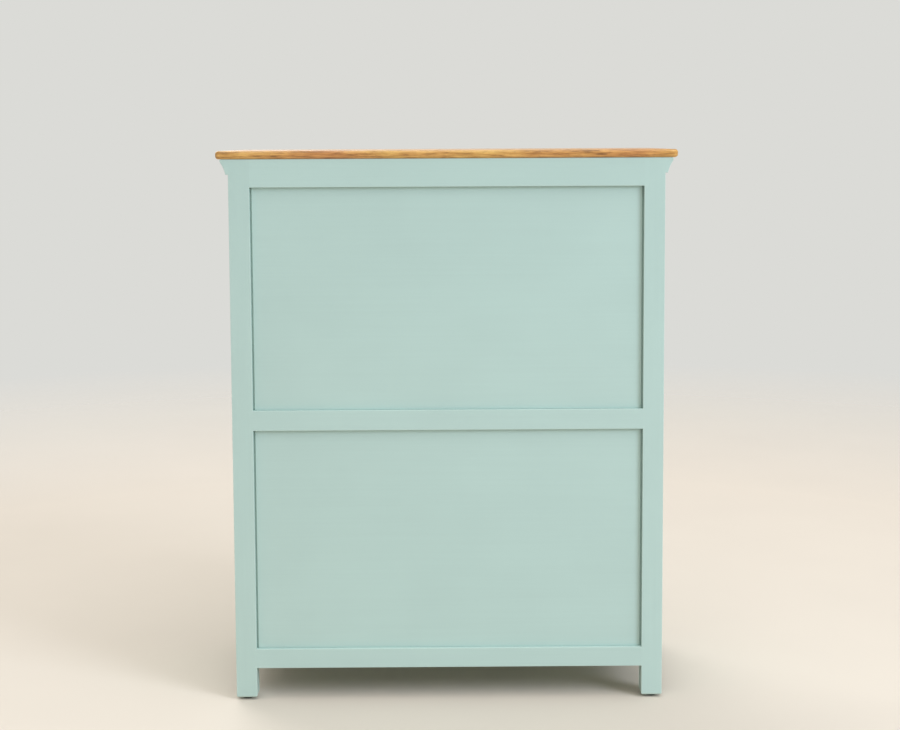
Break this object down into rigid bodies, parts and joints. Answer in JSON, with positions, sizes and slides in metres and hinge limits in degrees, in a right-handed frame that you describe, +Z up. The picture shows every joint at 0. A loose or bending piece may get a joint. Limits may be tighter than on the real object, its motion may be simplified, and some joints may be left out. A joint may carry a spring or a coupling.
{
  "type": "bar cabinet",
  "caption": "Free-standing painted bar cabinet with a wood top, panelled back and sides, hinged doors, drawers, a bottle rack and a rack for stemmed glasses",
  "frame": {"origin": "on the floor under the middle of the top board", "axes": "+Z up; the doors and drawers face -Y and the pictured back faces +Y; +X is to the right of someone who stands in front of the doors"},
  "size_m": [0.9, 0.43, 1.095],
  "materials": {
    "seafoam_paint": "satin seafoam paint brushed on hardwood",
    "honey_wood": "solid mango wood with a clear satin lacquer",
    "pale_wood": "planed, unfinished softwood",
    "aged_brass": "brushed brass, darkened with age",
    "strike_steel": "plain zinc-plated steel",
    "dark_nylon": "moulded dark brown nylon"
  },
  "bodies": {
    "carcass": {"top_board": "honey_wood", "front_cornice": "seafoam_paint", "left_cornice": "seafoam_paint", "right_cornice": "seafoam_paint", "front_left_post": "seafoam_paint", "front_right_post": "seafoam_paint", "back_left_post": "seafoam_paint", "back_right_post": "seafoam_paint", "back_top_rail": "seafoam_paint", "back_middle_rail": "seafoam_paint", "back_bottom_rail": "seafoam_paint", "back_upper_panel": "seafoam_paint", "back_lower_panel": "seafoam_paint", "left_side_rails": "seafoam_paint", "right_side_rails": "seafoam_paint", "left_side_panels": "seafoam_paint", "right_side_panels": "seafoam_paint", "front_top_rail": "seafoam_paint", "front_drawer_rail": "seafoam_paint", "front_bottom_rail": "seafoam_paint", "drawer_divider": "seafoam_paint", "floor_board": "seafoam_paint", "middle_shelf": "seafoam_paint", "lower_shelf": "seafoam_paint", "drawer_deck": "seafoam_paint", "lower_partition": "seafoam_paint", "shelf_cleats": "pale_wood", "drawer_guides": "pale_wood", "top_blocks": "pale_wood", "glass_rack": "honey_wood", "bottle_rack_uprights": "honey_wood", "bottle_rack_shelves": "honey_wood", "magnet_catches": "dark_nylon", "foot_glides": "dark_nylon", "left_post_hinges": "aged_brass", "right_post_hinges": "aged_brass"},
    "left_door": {"left_door_stiles": "seafoam_paint", "left_door_rails": "seafoam_paint", "left_door_panels": "seafoam_paint", "left_door_hinges": "aged_brass", "left_door_knob": "aged_brass", "left_door_strike": "strike_steel", "left_door_rack": "honey_wood", "left_door_rack_rods": "aged_brass"},
    "right_door": {"right_door_stiles": "seafoam_paint", "right_door_rails": "seafoam_paint", "right_door_panels": "seafoam_paint", "right_door_hinges": "aged_brass", "right_door_knob": "aged_brass", "right_door_strike": "strike_steel", "right_door_rack": "honey_wood", "right_door_rack_rods": "aged_brass"},
    "left_drawer": {"left_drawer_front": "seafoam_paint", "left_drawer_box": "pale_wood", "left_drawer_bottom": "pale_wood", "left_drawer_knob": "aged_brass"},
    "right_drawer": {"right_drawer_front": "seafoam_paint", "right_drawer_box": "pale_wood", "right_drawer_bottom": "pale_wood", "right_drawer_knob": "aged_brass"}
  },
  "joints": [
    {"name": "left_door_hinge", "type": "hinge", "parent": "carcass", "child": "left_door", "pos_m": [-0.3835, -0.1918, 0.49], "axis": [0, 0, -1], "range_deg": [0, 170]},
    {"name": "right_door_hinge", "type": "hinge", "parent": "carcass", "child": "right_door", "pos_m": [0.3835, -0.1918, 0.49], "axis": [0, 0, 1], "range_deg": [0, 170]},
    {"name": "left_drawer_slide", "type": "slide", "parent": "carcass", "child": "left_drawer", "axis": [0, -1, 0], "range_m": [0, 0.25]},
    {"name": "right_drawer_slide", "type": "slide", "parent": "carcass", "child": "right_drawer", "axis": [0, -1, 0], "range_m": [0, 0.25]}
  ]
}
